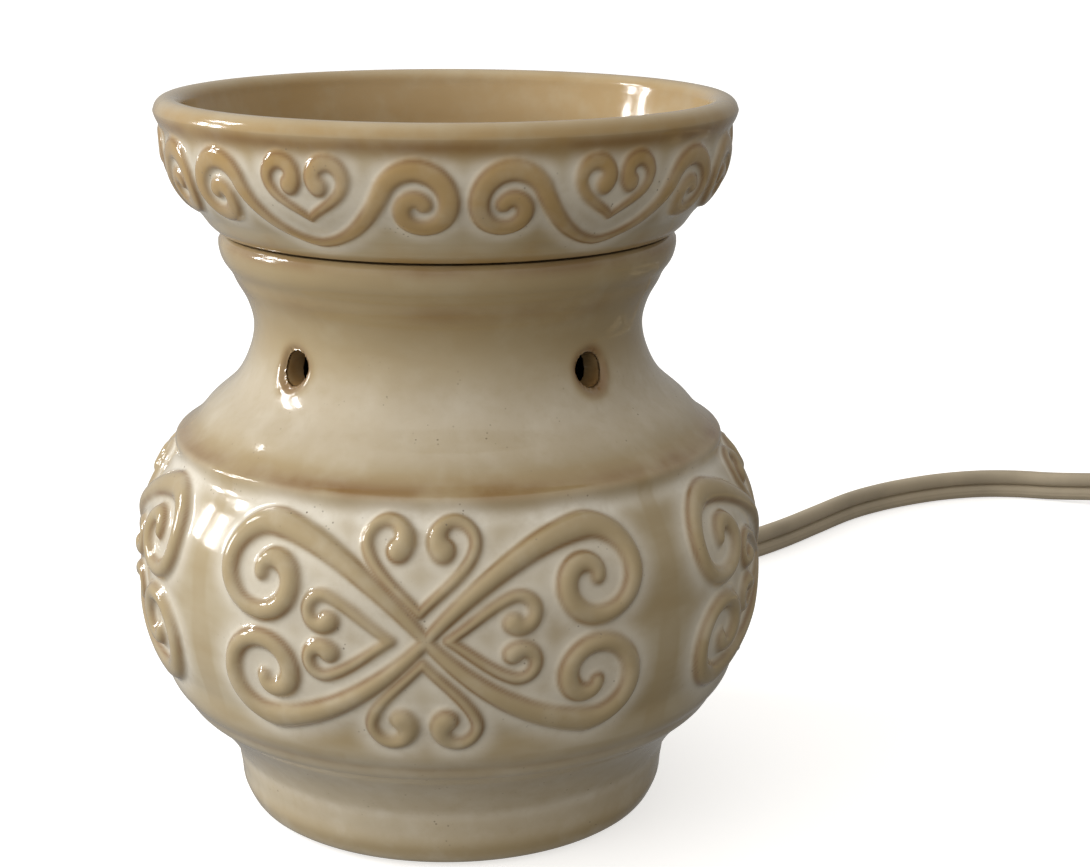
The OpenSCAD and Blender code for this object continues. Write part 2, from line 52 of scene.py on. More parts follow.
# ---------------------------------------------------------------- camera

CAMERA_AT = (0.0170, -0.3587, 0.1612)
CAMERA_TILT = math.radians(90 - 14.76)
CAMERA_ROLL = math.radians(0.26)
CAMERA_LENS = 68.6


def make_camera():
    data = bpy.data.cameras.new("camera")
    data.lens = CAMERA_LENS
    data.sensor_width = 36
    data.clip_start = 0.01
    camera = bpy.data.objects.new("camera", data)
    camera.location = CAMERA_AT
    camera.rotation_euler = (CAMERA_TILT, 0, 0)
    camera.rotation_euler.rotate_axis("Z", CAMERA_ROLL)
    bpy.context.scene.collection.objects.link(camera)
    bpy.context.scene.camera = camera


# ---------------------------------------------------------------- meshes and curves

def mesh_object(name, points, faces, body, material, stands_for=()):
    """A smooth-shaded mesh, in metres, that rides on a body and stands for CAD nodes."""
    mesh = bpy.data.meshes.new(name)
    mesh.from_pydata([tuple(p) for p in points], [], [tuple(f) for f in faces])
    mesh.validate()
    mesh.polygons.foreach_set("use_smooth", [True] * len(mesh.polygons))
    mesh.materials.append(material)
    piece = bpy.data.objects.new(name, mesh)
    bpy.context.scene.collection.objects.link(piece)
    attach(piece, body)
    if stands_for:
        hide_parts(*stands_for)
    return piece


def smooth_curve(points, steps):
    """A Catmull-Rom curve through the points, with that many steps between neighbours."""
    p = np.array(points, float)
    out = []
    for i in range(len(p) - 1):
        a, b, c, d = p[max(i - 1, 0)], p[i], p[i + 1], p[min(i + 2, len(p) - 1)]
        for t in np.arange(steps) / steps:
            out.append(0.5 * (2 * b + (c - a) * t + (2 * a - 5 * b + 4 * c - d) * t * t
                              + (3 * b - a - 3 * c + d) * t ** 3))
    return np.array(out + [p[-1]])


def lengths_along(curve):
    return np.concatenate([[0], np.cumsum(np.linalg.norm(np.diff(curve, axis=0), axis=1))])


def spaced(curve, at):
    """The curve's points at those lengths along it."""
    along = lengths_along(curve)
    return np.stack([np.interp(at, along, curve[:, k]) for k in range(curve.shape[1])], axis=1)


def smoothstep(low, high, x):
    t = np.clip((x - low) / (high - low), 0, 1)
    return t * t * (3 - 2 * t)


def swept(path, section, up=(0, 0, 1)):
    """Points and faces of a section swept along a path, its second axis kept upwards."""
    path = np.array(path, float)
    ahead = np.gradient(path, axis=0)
    ahead /= np.linalg.norm(ahead, axis=1)[:, None]
    side = np.cross(ahead, np.array(up, float))
    side /= np.linalg.norm(side, axis=1)[:, None]
    top = np.cross(side, ahead)
    section = np.array(section, float)
    points = (path[:, None] + section[None, :, :1] * side[:, None]
              + section[None, :, 1:] * top[:, None]).reshape(-1, 3)
    n, rings = len(section), len(path)
    faces = [(i * n + j, (i + 1) * n + j, (i + 1) * n + (j + 1) % n, i * n + (j + 1) % n)
             for i in range(rings - 1) for j in range(n)]
    faces.append(tuple(range(n)))
    faces.append(tuple((rings - 1) * n + j for j in reversed(range(n))))
    return points, faces


# ---------------------------------------------------------------- materials

def rgb(r, g, b):
    """An sRGB colour given from 0 to 255, as linear light."""
    def one(c):
        c /= 255
        return c / 12.92 if c <= 0.04045 else ((c + 0.055) / 1.055) ** 2.4
    return (one(r), one(g), one(b), 1)


class Shader:
    """A material with a Principled shader, and short ways to add nodes to it."""

    def __init__(self, name, colour, roughness, metallic=0.0, **sockets):
        self.material = bpy.data.materials.new(name)
        self.material.use_nodes = True
        self.tree = self.material.node_tree
        self.main = self.tree.nodes["Principled BSDF"]
        self.main.inputs["Base Color"].default_value = colour
        self.main.inputs["Roughness"].default_value = roughness
        self.main.inputs["Metallic"].default_value = metallic
        for socket, value in sockets.items():
            self.main.inputs[socket.replace("_", " ")].default_value = value
        self.place = self.node("ShaderNodeTexCoord").outputs["Object"]

    def node(self, kind, **settings):
        made = self.tree.nodes.new(kind)
        for key, value in settings.items():
            setattr(made, key, value)
        return made

    def link(self, source, target):
        self.tree.links.new(source, target)

    def noise(self, scale, detail=3.0, roughness=0.5, stretch=None):
        made = self.node("ShaderNodeTexNoise")
        made.inputs["Scale"].default_value = scale
        made.inputs["Detail"].default_value = detail
        made.inputs["Roughness"].default_value = roughness
        if stretch is None:
            self.link(self.place, made.inputs["Vector"])
        else:
            mapping = self.node("ShaderNodeMapping")
            mapping.inputs["Scale"].default_value = stretch
            self.link(self.place, mapping.inputs["Vector"])
            self.link(mapping.outputs["Vector"], made.inputs["Vector"])
        return made.outputs["Fac"]

    def ramp(self, source, low, high, to_low=0.0, to_high=1.0):
        made = self.node("ShaderNodeMapRange", interpolation_type="SMOOTHSTEP")
        self.link(source, made.inputs["Value"])
        for socket, value in (("From Min", low), ("From Max", high),
                              ("To Min", to_low), ("To Max", to_high)):
            made.inputs[socket].default_value = value
        return made.outputs["Result"]

    def times(self, a, b):
        made = self.node("ShaderNodeMath", operation="MULTIPLY")
        self.link(a, made.inputs[0])
        if isinstance(b, float):
            made.inputs[1].default_value = b
        else:
            self.link(b, made.inputs[1])
        return made.outputs[0]

    def mix(self, share, a, b):
        """a where share is 0 and b where it is 1; each is a colour or an output."""
        made = self.node("ShaderNodeMix", data_type="RGBA")
        self.link(share, made.inputs["Factor"])
        for socket, value in ((made.inputs[6], a), (made.inputs[7], b)):
            if isinstance(value, tuple):
                socket.default_value = value
            else:
                self.link(value, socket)
        return made.outputs[2]

    def paint(self, output):
        self.link(output, self.main.inputs["Base Color"])

    def rough(self, output):
        self.link(output, self.main.inputs["Roughness"])

    def bump(self, height, depth, strength=1.0):
        """depth is in metres."""
        made = self.node("ShaderNodeBump")
        made.inputs["Distance"].default_value = depth
        made.inputs["Strength"].default_value = strength
        self.link(height, made.inputs["Height"])
        self.link(made.outputs["Normal"], self.main.inputs["Normal"])


GLAZE_CREAM = rgb(190, 177, 149)
GLAZE_WARM = rgb(170, 151, 114)
GLAZE_CARAMEL = rgb(130, 93, 46)
GLAZE_POOL = rgb(228, 222, 208)


def glaze(name, raised_tan):
    """Reactive glaze: the colour attribute says where it runs thin over raised clay (red), where
    it pools white (green) and where it breaks to caramel at edges (blue)."""
    s = Shader(name, GLAZE_CREAM, 0.13, IOR=1.52, Coat_Weight=0.35, Coat_Roughness=0.05)
    worked = s.node("ShaderNodeAttribute", attribute_name="glaze")
    parts = s.node("ShaderNodeSeparateColor")
    s.link(worked.outputs["Color"], parts.inputs["Color"])
    thin, pooled, broken = parts.outputs["Red"], parts.outputs["Green"], parts.outputs["Blue"]
    cloud = s.noise(28, 4, 0.55, stretch=(1, 1, 2.4))
    grain = s.noise(420, 3, 0.6)
    base = s.mix(s.ramp(cloud, 0.38, 0.68), GLAZE_CREAM, GLAZE_WARM)
    pool = s.mix(s.times(pooled, s.ramp(grain, 0.2, 0.6, 0.75, 1.0)), base, GLAZE_POOL)
    raised = s.mix(s.times(thin, s.ramp(s.noise(160, 3), 0.25, 0.6, 0.62, 1.0)), pool, raised_tan)
    edged = s.mix(s.times(broken, s.ramp(s.noise(90, 4), 0.3, 0.65, 0.2, 1.0)), raised, GLAZE_CARAMEL)
    dots = s.node("ShaderNodeTexVoronoi", feature="F1")
    dots.inputs["Scale"].default_value = 900
    s.link(s.place, dots.inputs["Vector"])
    holes = s.times(s.ramp(dots.outputs["Distance"], 0.1, 0.2, 1.0, 0.0),
                    s.times(pooled, s.ramp(s.noise(170, 2), 0.56, 0.66)))
    s.paint(s.mix(holes, edged, rgb(120, 108, 90)))
    s.rough(s.ramp(grain, 0.2, 0.8, 0.1, 0.17))
    s.bump(s.noise(85, 2, 0.45), 0.0006, 0.4)
    return s.material


def moulded(name, colour, roughness=0.45, grain=1800.0, depth=0.00003):
    """Moulded plastic or rubber with a fine texture and slight colour variation."""
    s = Shader(name, colour, roughness)
    darker = tuple(c * 0.82 for c in colour[:3]) + (1,)
    s.paint(s.mix(s.ramp(s.noise(60, 3), 0.35, 0.7), colour, darker))
    s.rough(s.ramp(s.noise(240, 2), 0.3, 0.7, roughness - 0.06, roughness + 0.08))
    s.bump(s.noise(grain, 2), depth, 0.6)
    return s.material


def metal(name, colour, roughness=0.25, lines=(40, 40, 900), depth=0.00002):
    """Metal with drawn or rolled lines and light tarnish."""
    s = Shader(name, colour, roughness, metallic=1.0)
    darker = tuple(c * 0.62 for c in colour[:3]) + (1,)
    s.paint(s.mix(s.ramp(s.noise(90, 4), 0.45, 0.8), colour, darker))
    s.rough(s.ramp(s.noise(120, 3), 0.3, 0.7, roughness - 0.07, roughness + 0.15))
    s.bump(s.noise(1, 2, 0.5, stretch=lines), depth, 0.5)
    return s.material


def clear_glass(name, tint, roughness=0.0):
    s = Shader(name, tint, roughness, Transmission_Weight=1.0, IOR=1.45)
    s.rough(s.ramp(s.noise(45, 2), 0.5, 0.9, roughness, roughness + 0.03))
    return s.material


def make_materials():
    lead = rgb(180, 167, 144)
    return {
        "pot_glaze": glaze("pot_glaze", rgb(172, 152, 113)),
        "dish_glaze": glaze("dish_glaze", rgb(172, 141, 87)),
        "pad_rubber": moulded("pad_rubber", rgb(46, 43, 40), 0.7),
        "plated_steel": metal("plated_steel", rgb(196, 198, 200), 0.32),
        "screw_steel": metal("screw_steel", rgb(205, 206, 208), 0.22),
        "brass": metal("brass", rgb(212, 178, 104), 0.24),
        "phenolic": moulded("phenolic", rgb(38, 31, 27), 0.3),
        "core_dark": moulded("core_dark", rgb(40, 38, 36), 0.4),
        "core_light": moulded("core_light", rgb(222, 217, 205), 0.4),
        "relief_pvc": moulded("relief_pvc", lead, 0.5),
        "solder": metal("solder", rgb(186, 184, 178), 0.4),
        "black_glass": moulded("black_glass", rgb(24, 23, 22), 0.12, 300.0, 0.00001),
        "bulb_glass": clear_glass("bulb_glass", (1, 1, 1, 1)),
        "stem_glass": clear_glass("stem_glass", (0.96, 0.98, 1, 1)),
        "support_wire": metal("support_wire", rgb(170, 170, 172), 0.3),
        "tungsten": metal("tungsten", rgb(92, 90, 88), 0.5),
        "lead_pvc": moulded("lead_pvc", lead, 0.42, 900.0),
        "tie_plastic": moulded("tie_plastic", rgb(44, 42, 40), 0.45),
        "switch_plastic": moulded("switch_plastic", rgb(154, 145, 130), 0.4, 1400.0, 0.00005),
        "rocker_plastic": moulded("rocker_plastic", rgb(224, 218, 204), 0.22, 600.0, 0.00001),
        "plug_pvc": moulded("plug_pvc", rgb(148, 139, 124), 0.45),
    }


# ---------------------------------------------------------------- lead

LEAD_W = 7.4
LEAD_T = 3.7
COIL_AT = (198, 100)
COIL_R = 45
COIL_STEP = LEAD_T + 0.3
COIL_LOW = 4.4
COIL_HIGH = 11.9
LEAD_STEP = 2.2

# The lead's route, as in part.scad: pot to switch, switch to coil, coil to plug
FEED_ROUTE = [
    (0, 68, 16.5), (0, 76, 15.9), (1, 84, 13.6), (5, 92, 10.4), (11, 99, 7.2), (20, 105.5, 5),
    (31, 111, 4), (43, 116.5, 3.8), (55, 122.5, 3.8), (67, 131, 3.8), (77, 141, 3.8), (87, 153, 3.8),
    (97, 165, 3.8), (106, 173, 3.8), (115, 179, 3.8), (125, 184, 3.8), (136, 187, 3.8),
    (146, 187, 3.8), (155, 184.5, 4), (164, 181.2, 4.8), (170, 178.9, 5.4), (176, 176.7, 5.5),
]
LINK_ROUTE = [
    (224, 159.3, 5.5), (230, 156.9, 5.4), (237, 152.2, 5), (243, 145.5, 4.5), (247, 136, 4.4),
    (248.4, 126, 4.4), (248, 115, 4.4), (245.5, 103, 4.4),
]
TAIL_ROUTE = [
    (243, 97, 11.9), (243.8, 90, 11.5), (245.4, 82, 10.2), (247.4, 74, 8.4), (248.7, 67, 7.3),
    (249, 60, 7),
]


def coil_route():
    """Two turns on the floor and two on top of them, clockwise from above."""
    first, turns, per_turn = -15, 3.95, 36
    route = []
    for k in range(int(turns * per_turn) + 1):
        t = k / per_turn
        a = math.radians(first - 360 * t)
        r = COIL_R - COIL_STEP * (smoothstep(0.93, 1.13, t) - smoothstep(2.95, 3.15, t))
        z = COIL_LOW + (COIL_HIGH - COIL_LOW) * smoothstep(1.85, 2.07, t)
        route.append((COIL_AT[0] + r * math.cos(a), COIL_AT[1] + r * math.sin(a), z))
    return route


def lead_section():
    """Two round lobes, one above the other, joined by a thin web; the lower one has fine ribs."""
    lobe, web = LEAD_W / 4, 0.55
    ribs, rib_depth = 6, 0.09
    points = []
    for side in (1, -1):
        for which in (-side, side):
            for a in np.radians(np.linspace(-90, 90, 25)) * side:
                x = LEAD_T / 2 * max(math.cos(a), 0) ** 0.8
                y = which * lobe + lobe * math.sin(a)
                if which == -1:
                    x -= rib_depth * (0.5 + 0.5 * math.cos(2 * ribs * a)) * math.cos(a)
                points.append((side * max(x, web if abs(y) < lobe * 0.35 else 0.0), y))
    return np.array(points) * MM


def make_lead(materials):
    route = np.concatenate([smooth_curve(FEED_ROUTE, 5),
                            smooth_curve(LINK_ROUTE + coil_route() + TAIL_ROUTE, 3)])
    whole = lengths_along(route)[-1]
    path = spaced(route, np.linspace(0, whole, int(whole / LEAD_STEP))) * MM
    points, faces = swept(path, lead_section())
    lead = mesh_object("flat_lead", points, faces, "warmer", materials["lead_pvc"],
                       ("cord_feed", "cord_link", "cord_coil", "cord_tail"))


# ---------------------------------------------------------------- relief

SAMPLE = 0.14


def curl(start, heading, centre, r0, r1, a0, sweep, widths, drift=(0, 0), ease=1.0, pull=1.0):
    """A scroll's centreline with half-widths: a tail from start, then a spiral about centre.

    Angles are in degrees and sweep is negative for clockwise. widths are the half-widths at the
    start, at the spiral's beginning, and at even steps to the end.
    """
    turn = math.copysign(1, sweep)
    a = math.radians(a0)
    c = np.array(centre, float)
    p0 = c + r0 * np.array([math.cos(a), math.sin(a)])
    t0 = turn * np.array([-math.sin(a), math.cos(a)])
    s, h = np.array(start, float), math.radians(heading)
    reach = np.linalg.norm(p0 - s) * pull
    t = np.linspace(0, 1, 70)[:, None]
    tail = ((2 * t ** 3 - 3 * t ** 2 + 1) * s + (t ** 3 - 2 * t ** 2 + t) * reach
            * np.array([math.cos(h), math.sin(h)]) + (-2 * t ** 3 + 3 * t ** 2) * p0
            + (t ** 3 - t ** 2) * reach * t0)
    q = np.linspace(0, 1, 150)[1:]
    angle = a + math.radians(sweep) * q
    r = r1 + (r0 - r1) * (1 - q ** ease)
    middle = c[None] + q[:, None] * np.array(drift, float)
    spiral = middle + r[:, None] * np.stack([np.cos(angle), np.sin(angle)], axis=1)
    line = np.concatenate([tail, spiral])
    knots = np.concatenate([[0], np.linspace(len(tail) - 1, len(line) - 1, len(widths) - 1)])
    w = np.interp(np.arange(len(line)), knots, widths)
    return spaced(np.column_stack([line, w]), np.arange(0, lengths_along(line)[-1], SAMPLE))


def heart(tip, facing, reach, spread, r, open_angle, widths):
    """Two mirrored curls that start together at the tip; facing is the axis's direction."""
    both = []
    a = math.radians(facing - 90)
    turned = np.array([[math.cos(a), -math.sin(a)], [math.sin(a), math.cos(a)]])
    for side in (-1, 1):
        one = curl((0, 0), 90 + open_angle, (-spread, reach), r, 0.6 * r, 198, -238, widths,
                   ease=2.0, pull=0.9)
        one[:, 0] *= -side
        one[:, :2] = one[:, :2] @ turned.T + np.array(tip)
        both.append(one)
    return both


def belly_strokes():
    """The panel on the belly: a crossing of four scrolls with a heart in each gap."""
    strokes = []
    wide = [1.15, 2.6, 2.1, 1.75, 1.9, 2.05, 1.9, 1.5]
    for x in (-1, 1):
        upper = curl((0, 0), 50, (28.3, 8.7), 8.6, 1.5, 97, -440, wide, drift=(-1.2, -0.6), ease=1.2,
                     pull=0.95)
        lower = curl((0, 0), 48, (28.0, 8.1), 8.2, 1.6, 97, -420, wide, drift=(-1.0, -0.2), ease=1.2,
                     pull=0.95)
        lower[:, 1] *= -1
        for scroll in (upper, lower):
            scroll[:, 0] *= x
            strokes.append(scroll)
    slim = [0.95, 1.2, 1.3, 1.4, 1.9, 2.35]
    strokes += heart((-1.0, 4.4), 90, 11.5, 5.5, 3.75, 40, slim)
    strokes += heart((-0.6, -3.8), 270, 11.6, 5.3, 3.5, 40, slim)
    small = [0.95, 1.2, 1.3, 1.35, 1.6, 1.95]
    strokes += heart((-5.6, -0.2), 180, 11.3, 3.9, 2.8, 30, small)
    strokes += heart((3.4, 0.1), 0, 11.4, 4.0, 2.9, 30, small)
    return strokes


def dish_strokes():
    """The frieze on the dish: a heart over the trough of a wave that ends in two scrolls."""
    strokes = heart((0, 5.5), 90, 6.9, 3.95, 2.9, 46, [0.8, 1.15, 1.4, 1.5, 1.6, 1.8])
    for x in (-1, 1):
        wave = curl((0, 0.1), 3, (19.0, 8.8), 6.3, 1.35, 155, -468,
                    [1.05, 1.7, 1.9, 1.75, 1.7, 1.55, 1.5], drift=(-0.2, -1.0))
        wave[:, 0] *= x
        strokes.append(wave)
    return strokes


def relief_field(strokes, x, y):
    """For each grid point: how far outside the nearest stroke's edge it is (negative inside), how
    far across the stroke it is (0 on the centreline, 1 at the edge), and the stroke's half-width."""
    px, py = np.meshgrid(x, y)
    out = np.full(px.shape, 99.0)
    across = np.full(px.shape, 9.0)
    width = np.ones(px.shape)
    for line in strokes:
        low, high = line[:, :2].min(0) - 6, line[:, :2].max(0) + 6
        rows = np.flatnonzero((y > low[1]) & (y < high[1]))
        columns = np.flatnonzero((x > low[0]) & (x < high[0]))
        if not len(rows) or not len(columns):
            continue
        part = np.ix_(rows, columns)
        gx, gy = px[part][..., None], py[part][..., None]
        for some in np.array_split(line, max(1, len(line) // 40)):
            d = np.hypot(gx - some[:, 0], gy - some[:, 1])
            k = (d - some[:, 2]).argmin(-1)
            d = np.take_along_axis(d, k[..., None], -1)[..., 0]
            w = some[k, 2]
            better = d - w < out[part]
            for field, value in ((out, d - w), (across, d / w), (width, w)):
                field[part] = np.where(better, value, field[part])
    return out, across, width


def blurred(field, rows, columns):
    """A small blur; the columns wrap round."""
    for _ in range(rows):
        padded = np.concatenate([field[:1], field, field[-1:]])
        field = (padded[:-2] + 2 * padded[1:-1] + padded[2:]) / 4
    for _ in range(columns):
        field = (np.roll(field, 1, 1) + 2 * field + np.roll(field, -1, 1)) / 4
    return field


def worked_relief(strokes, x, y, height, roundness, spread):
    """Height in mm, and the glaze's thin, pooled and broken shares, over one panel. A low roundness
    gives flat-topped strokes. The glaze lies white along each stroke and fades out over the
    spread, in mm."""
    out, across, width = relief_field(strokes, x, y)
    crown = np.clip(1.06 - across ** 2, 0, 1) ** roundness
    lift = height * crown * np.clip(width / 1.5, 0.75, 1.2)
    thin = smoothstep(0.3, -0.6, out) * 0.92 + smoothstep(spread, 2.4 * spread, out) * 0.5
    broken = np.exp(-((out + 0.35) / 0.35) ** 2) * 0.75
    line = np.exp(-((out - 0.7) / 0.9) ** 2)
    pooled = 0.36 * smoothstep(spread, 0.3 * spread, out) + 0.42 * line
    return lift, blurred(thin, 1, 1), blurred(pooled, 6, 6), broken


# ---------------------------------------------------------------- pot

POT_COLUMNS = 1008
PANEL_TURN = -1.4
PANEL_Z = 47.6
PANELS = 4
BELLY_R = 55.35
VENT_Z = 84
VENT_R = 2.9
VENT_TURN = 45.2
# Rings of a vent's inner wall: depth below its outer edge, and how much narrower
VENT_WALL = ((0.5, 0.12), (1.2, 0.2), (3.5, 0.2))
# A vent's inner wall is painted caramel: partly glaze broken at the cut edge, partly painted shade
# down in the hole
VENT_WALL_BROKEN_AND_SHADE = (0.6, 0, 0.9, 1)
LANDING_Y = 43.4
LANDING_Z = 16.5
LANDING_R = 7.2
LANDING_TURN = 30

# Outlines, as in part.scad but for a lip that stands 0.05 higher
POT_OUTER = [
    (34.2, 0.2), (36.7, 1.2), (38, 4), (38.8, 8.2), (39.8, 12), (42, 15.6), (45, 19), (48.2, 22),
    (51.3, 27), (53.6, 33), (54.9, 39), (55.35, 47), (54.55, 55.5), (51.45, 62.5), (48.4, 67),
    (46.5, 69.6), (42.8, 73.4), (37.6, 78), (34.9, 83), (34, 87.8), (35, 92.2), (37.2, 96.2),
    (39.2, 99.8), (39.5, 102.4), (38.7, 103.8),
]
POT_INNER = [
    (34.8, 103.8), (34, 102.8), (33.7, 100), (33.2, 96.5), (31.4, 92.4), (30.8, 87.8),
    (31.5, 82.6), (34.6, 76.6), (39, 71), (43.4, 66), (46.85, 60.5), (49.95, 54), (51.05, 47),
    (50.65, 39.5), (49.25, 34.4), (46.25, 28.8), (42.4, 24.4), (38.2, 20.9), (35.2, 17.4),
    (34.2, 13.8), (33.6, 11), (31.6, 9),
]
POT_LIP = [(38.2, 103.8), (37.2, 103.85), (36, 103.85), (35.2, 103.85)]
POT_FOOT = [(30, 0.2), (33, 0.2)]
POT_UNDER = [
    (17.4, 9), (17, 8.6), (17, 5.4), (17.3, 5), (25.2, 5), (25.7, 4.6), (26.8, 0.7), (27.2, 0.2),
]


def outline_rows(outline, steps):
    """The outline's points with uneven spacing: steps(z) is the spacing in mm at that height."""
    fine = spaced(outline, np.arange(0, lengths_along(outline)[-1], 0.02))
    picked, since = [0], 0.0
    for i in range(1, len(fine)):
        since += 0.02
        if since >= steps(fine[i, 1]):
            picked.append(i)
            since = 0.0
    return np.concatenate([fine[picked], outline[-1:]])


def bands(z, *lines):
    """Soft lines round the pot, each (height of its middle, half-width, amount)."""
    return sum(amount * np.exp(-((z - at) / half) ** 2) for at, half, amount in lines)


def outward(rows):
    """Unit normals of an outline in its own plane, to the right of its direction of travel."""
    t = np.gradient(rows, axis=0)
    t /= np.linalg.norm(t, axis=1)[:, None]
    return np.column_stack([t[:, 1], -t[:, 0]])


def ring_points(r, z, turn):
    """Grid points from radii, heights and angles in degrees."""
    a = np.radians(turn)
    return np.stack([r * np.sin(a), -r * np.cos(a), z + 0 * r], axis=-1)


def lattice(rows, columns, first=0, closed=False):
    """Quads of a grid that wraps round, and whose last row meets its first if closed."""
    i = np.arange(rows if closed else rows - 1)[:, None]
    j = np.arange(columns)[None]
    k = (j + 1) % columns
    n = (i + 1) % rows
    return first + np.stack([i * columns + j, i * columns + k, n * columns + k, n * columns + j],
                            axis=-1).reshape(-1, 4)


def round_relief(strokes, outer, repeats, columns, middle, **look):
    """worked_relief for a panel with that middle (radius, height), repeated round an outline."""
    along = lengths_along(outer)
    up = along - np.interp(middle[1], outer[:, 1], along)
    per_panel = columns // repeats
    x = (np.arange(per_panel) / per_panel - 0.5) * 360 / repeats * math.radians(middle[0])
    return [np.tile(field, (1, repeats)) for field in worked_relief(strokes, x, up, **look)]


def lathe_points(outer, lift, rest, turn, change_r=None):
    """Points of the worked outer face, then of plain rings along the rest of the outline."""
    normal = outward(outer)
    r = outer[:, :1] + lift * normal[:, :1]
    height = outer[:, 1:] + lift * normal[:, 1:]
    if change_r:
        r = change_r(r, height, turn)
    plain = ring_points(rest[:, :1] + 0 * turn, rest[:, 1:], turn)
    return np.concatenate([ring_points(r, height, turn).reshape(-1, 3), plain.reshape(-1, 3)])


def glaze_shares(count, thin, pooled, broken):
    """A colour for each point: the glaze's shares on the outer face, which comes first."""
    shares = np.zeros((count, 4))
    shares[:, 3] = 1
    for k, field in enumerate((thin, pooled, broken)):
        shares[:field.size, k] = field.reshape(-1)
    return shares


def paint_shares(piece, shares):
    layer = piece.data.attributes.new("glaze", "FLOAT_COLOR", "POINT")
    layer.data.foreach_set("color", shares.astype(np.float32).ravel())


def pot_steps(z):
    """Row spacing in mm: close over the relief and the vents."""
    if 26 < z < 69:
        return 0.36
    if 80 < z < 88.5:
        return 0.5
    return 0.7


def vent_turns():
    return [back + side * VENT_TURN for back in (0, 180) for side in (-1, 1)]


def cut_hole(points, faces, turn):
    """Opens a round hole through the faces near (turn, VENT_Z); gives the faces left and its edge."""
    a = math.radians(turn)
    axis = np.array([math.sin(a), -math.cos(a)])
    side = np.array([math.cos(a), math.sin(a)])
    near = points[:, :2] @ axis > 0
    u, w = points[:, :2] @ side, points[:, 2] - VENT_Z
    centre_u, centre_w = u[faces].mean(1), w[faces].mean(1)
    inside = (np.hypot(centre_u, centre_w) < VENT_R) & near[faces].all(1)
    gone, kept = faces[inside], faces[~inside]
    edge = np.intersect1d(gone, kept)
    angle = np.arctan2(w[edge], u[edge])
    out = points[:, :2] @ axis
    points[edge, :2] = (out[edge, None] * axis + VENT_R * np.cos(angle)[:, None] * side)
    points[edge, 2] = VENT_Z + VENT_R * np.sin(angle)
    return kept, edge[np.argsort(angle)], axis, side


def open_vents(points, faces, shares, outer_count):
    """Opens the vents through both walls and gives each its own inner wall."""
    on_outer = (faces < outer_count).all(1)
    outer_faces, inner_faces = faces[on_outer], faces[~on_outer]
    walls = []
    for at in vent_turns():
        outer_faces, edge, axis, side = cut_hole(points, outer_faces, at)
        inner_faces = cut_hole(points, inner_faces, at)[0]
        last = edge
        for depth, narrower in VENT_WALL:
            ring = points[edge]
            ring[:, :2] -= depth * axis
            ring[:, :2] -= (ring[:, :2] @ side * narrower / VENT_R)[:, None] * side
            ring[:, 2] -= (ring[:, 2] - VENT_Z) * narrower / VENT_R
            new = len(points) + np.arange(len(edge))
            points = np.concatenate([points, ring])
            # The wall's shares paint it caramel, as broken glaze and as painted shade inside the vent
            shares = np.concatenate([shares, np.tile(VENT_WALL_BROKEN_AND_SHADE, (len(edge), 1))])
            walls.append(np.stack([last, new, np.roll(new, -1), np.roll(last, -1)], axis=1))
            last = new
    return points, np.concatenate([outer_faces, inner_faces, *walls]), shares


def with_landing(r, height, turn):
    """Radii with a flat landing at the back, for the strain relief."""
    back = (turn + 360) % 360 - 180
    off = np.hypot(r * np.sin(np.radians(back)), height - LANDING_Z)
    spot = smoothstep(LANDING_R + 0.5, LANDING_R - 0.3, off) * (np.abs(back) < LANDING_TURN)
    flat = LANDING_Y / np.cos(np.radians(np.clip(back, -LANDING_TURN, LANDING_TURN)))
    return r * (1 - spot) + flat * spot


def pot_surface(outer, turn):
    """Lift of the pot's outer face in mm, and the glaze's shares on it."""
    z = outer[:, 1:]
    lift, thin, pooled, broken = round_relief(
        belly_strokes(), outer, PANELS, POT_COLUMNS, (BELLY_R, PANEL_Z),
        height=1.25, roundness=0.7, spread=4.5)
    ground = 0.85 * smoothstep(25.5, 31, z) * smoothstep(68.6, 65.5, z)
    ridges = bands(z, (68.0, 0.9, 0.7), (4.6, 1.3, 0.25), (102.6, 0.9, 0.25))
    grooves = bands(z, (71.6, 1.6, 0.35), (97.3, 0.9, 0.3), (23.2, 0.8, 0.35), (10.5, 1.2, 0.2))
    lift = blurred(lift - ground + ridges - grooves, 2, 2)

    # The ledge over the belly, the neck and the lip are brown, unevenly; the shoulder is milky
    uneven = np.sin(np.radians(3 * turn) + 0.09 * z) * np.sin(np.radians(7 * turn) + 1)
    uneven = 0.5 + 0.5 * uneven
    thin = thin + bands(z, (69.6, 2.2, 0.9), (3.6, 2.2, 0.45), (102.4, 1.8, 0.8))
    thin = thin + bands(z, (95, 6.0, 0.65)) * (0.6 + 0.4 * uneven)
    broken = broken + bands(z, (102.9, 1.0, 0.6), (23.2, 0.6, 0.25))
    broken = broken + bands(z, (95.4, 1.7, 0.5)) * uneven
    broken = broken + bands(z, (69.2, 1.4, 0.9)) * (0.5 + 0.5 * uneven)
    pooled = pooled + bands(z, (65.9, 1.2, 0.6), (78, 6.5, 0.8), (10.5, 1.0, 0.35))
    pooled = pooled + 0.55 * smoothstep(29, 19, z)
    thin, pooled, broken = (np.clip(field, 0, 1) for field in (thin, pooled, broken))

    # Vents: rolled edges, brown with broken glaze
    rim = np.full(lift.shape, 99.0)
    for at in vent_turns():
        off = (turn - at + 180) % 360 - 180
        away = np.hypot(np.radians(off) * outer[:, :1], z - VENT_Z) - VENT_R
        rim = np.minimum(rim, away)
    lift = lift - 0.7 * np.clip(1 - rim / 1.2, 0, 1) ** 2
    broken = np.clip(broken + smoothstep(2.2, 0.2, rim) * 0.9, 0, 1)
    thin = np.clip(thin + smoothstep(3.2, 0.6, rim) * 0.6, 0, 1)
    return lift, thin, pooled, broken


